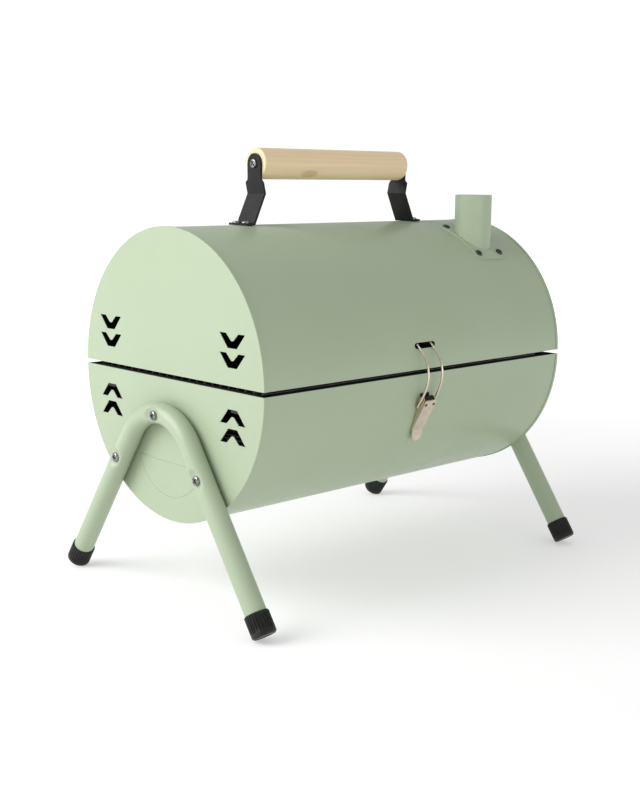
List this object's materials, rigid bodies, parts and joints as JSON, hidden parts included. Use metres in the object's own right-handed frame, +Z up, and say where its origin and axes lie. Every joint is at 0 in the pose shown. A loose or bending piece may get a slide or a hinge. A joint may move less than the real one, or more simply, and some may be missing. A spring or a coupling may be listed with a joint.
{
  "type": "portable barrel charcoal grill",
  "caption": "Table-top charcoal grill: a horizontal barrel with a hinged lid, wooden handle, short chimney, toggle latch and bent-tube legs.",
  "frame": {"origin": "on the ground under the middle of the barrel", "axes": "+X along the barrel towards the chimney end, -Y towards the front with the latch, +Z up"},
  "size_m": [0.4774, 0.3262, 0.4401],
  "materials": {
    "green_paint": "fine powder coat, satin",
    "cap_plastic": "moulded, matte",
    "zinc_screw": "zinc plated",
    "zinc_nut": "zinc plated",
    "steel_pin": "plain steel",
    "dark_screw": "blackened",
    "black_steel": "black powder coat, satin",
    "beech": "sanded, unlacquered",
    "nickel": "satin nickel plate",
    "grate_wire": "plated wire"
  },
  "bodies": {
    "base": {"base_shell": "green_paint", "base_left_end": "green_paint", "base_right_end": "green_paint", "left_leg": "green_paint", "right_leg": "green_paint", "foot_cap_left_front": "cap_plastic", "foot_cap_left_rear": "cap_plastic", "foot_cap_right_front": "cap_plastic", "foot_cap_right_rear": "cap_plastic", "leg_screws_left": "zinc_screw", "leg_screws_right": "zinc_screw", "leg_nuts_left": "zinc_nut", "leg_nuts_right": "zinc_nut", "hinge_base_leaf_left": "green_paint", "hinge_base_leaf_right": "green_paint", "hinge_pin_left": "steel_pin", "hinge_pin_right": "steel_pin", "hinge_base_rivets": "green_paint", "latch_bracket": "black_steel", "latch_pin": "steel_pin", "latch_rivets": "steel_pin", "cooking_grate": "grate_wire", "grate_rests": "green_paint", "charcoal_grate": "grate_wire"},
    "lid": {"lid_shell": "green_paint", "lid_left_end": "green_paint", "lid_right_end": "green_paint", "chimney_tube": "green_paint", "chimney_flange": "green_paint", "chimney_screws": "dark_screw", "chimney_nuts": "zinc_nut", "handle_grip": "beech", "left_handle_bracket": "black_steel", "right_handle_bracket": "black_steel", "grip_screws": "zinc_screw", "handle_foot_screws": "zinc_screw", "handle_foot_nuts": "zinc_nut", "hinge_lid_leaf_left": "green_paint", "hinge_lid_leaf_right": "green_paint", "hinge_lid_rivets": "green_paint"},
    "lever": {"latch_lever": "nickel"},
    "bail": {"latch_bail": "nickel"}
  },
  "joints": [
    {"name": "lid_hinge", "type": "hinge", "parent": "base", "child": "lid", "pos_m": [0, 0.1436, 0.2221], "axis": [-1, 0, 0], "range_deg": [0, 100]},
    {"name": "latch_lever", "type": "hinge", "parent": "base", "child": "lever", "pos_m": [-0.003, -0.1423, 0.1931], "axis": [-1, 0, 0], "range_deg": [0, 100]},
    {"name": "bail_swing", "type": "hinge", "parent": "lever", "child": "bail", "pos_m": [-0.003, -0.1383, 0.18617], "axis": [-1, 0, 0], "range_deg": [-180, 0]}
  ],
  "couplings": [
    {"joint": "bail_swing", "follows": "latch_lever", "ratio": -1.25}
  ]
}
